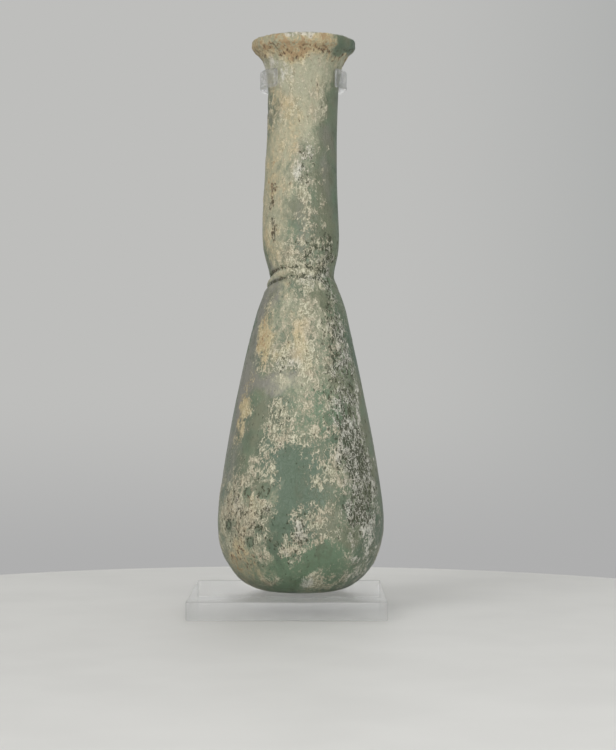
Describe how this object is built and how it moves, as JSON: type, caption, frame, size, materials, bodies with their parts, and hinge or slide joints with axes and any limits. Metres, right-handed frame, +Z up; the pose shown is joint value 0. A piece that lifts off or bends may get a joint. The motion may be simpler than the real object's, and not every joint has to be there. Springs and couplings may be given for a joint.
{
  "type": "glass perfume flask on a clear stand",
  "caption": "Long-necked blown glass perfume flask with a pinched waist and a pear-shaped body, weathered, held upright by a clear acrylic neck clip on a post and foot plate.",
  "frame": {"origin": "centre of the underside of the foot plate, on the surface the stand rests on", "axes": "+Z up along the flask, -Y towards the front, where the neck clip is open"},
  "size_m": [0.0526, 0.053, 0.1553],
  "materials": {
    "weathered_glass": "dull blue-green glass under a cream, flaking and pitted weathering crust",
    "clear_acrylic": "clear cast acrylic with polished edges"
  },
  "bodies": {
    "root": {"flask": "weathered_glass", "foot_plate": "clear_acrylic", "post": "clear_acrylic", "neck_clip": "clear_acrylic"}
  },
  "joints": []
}
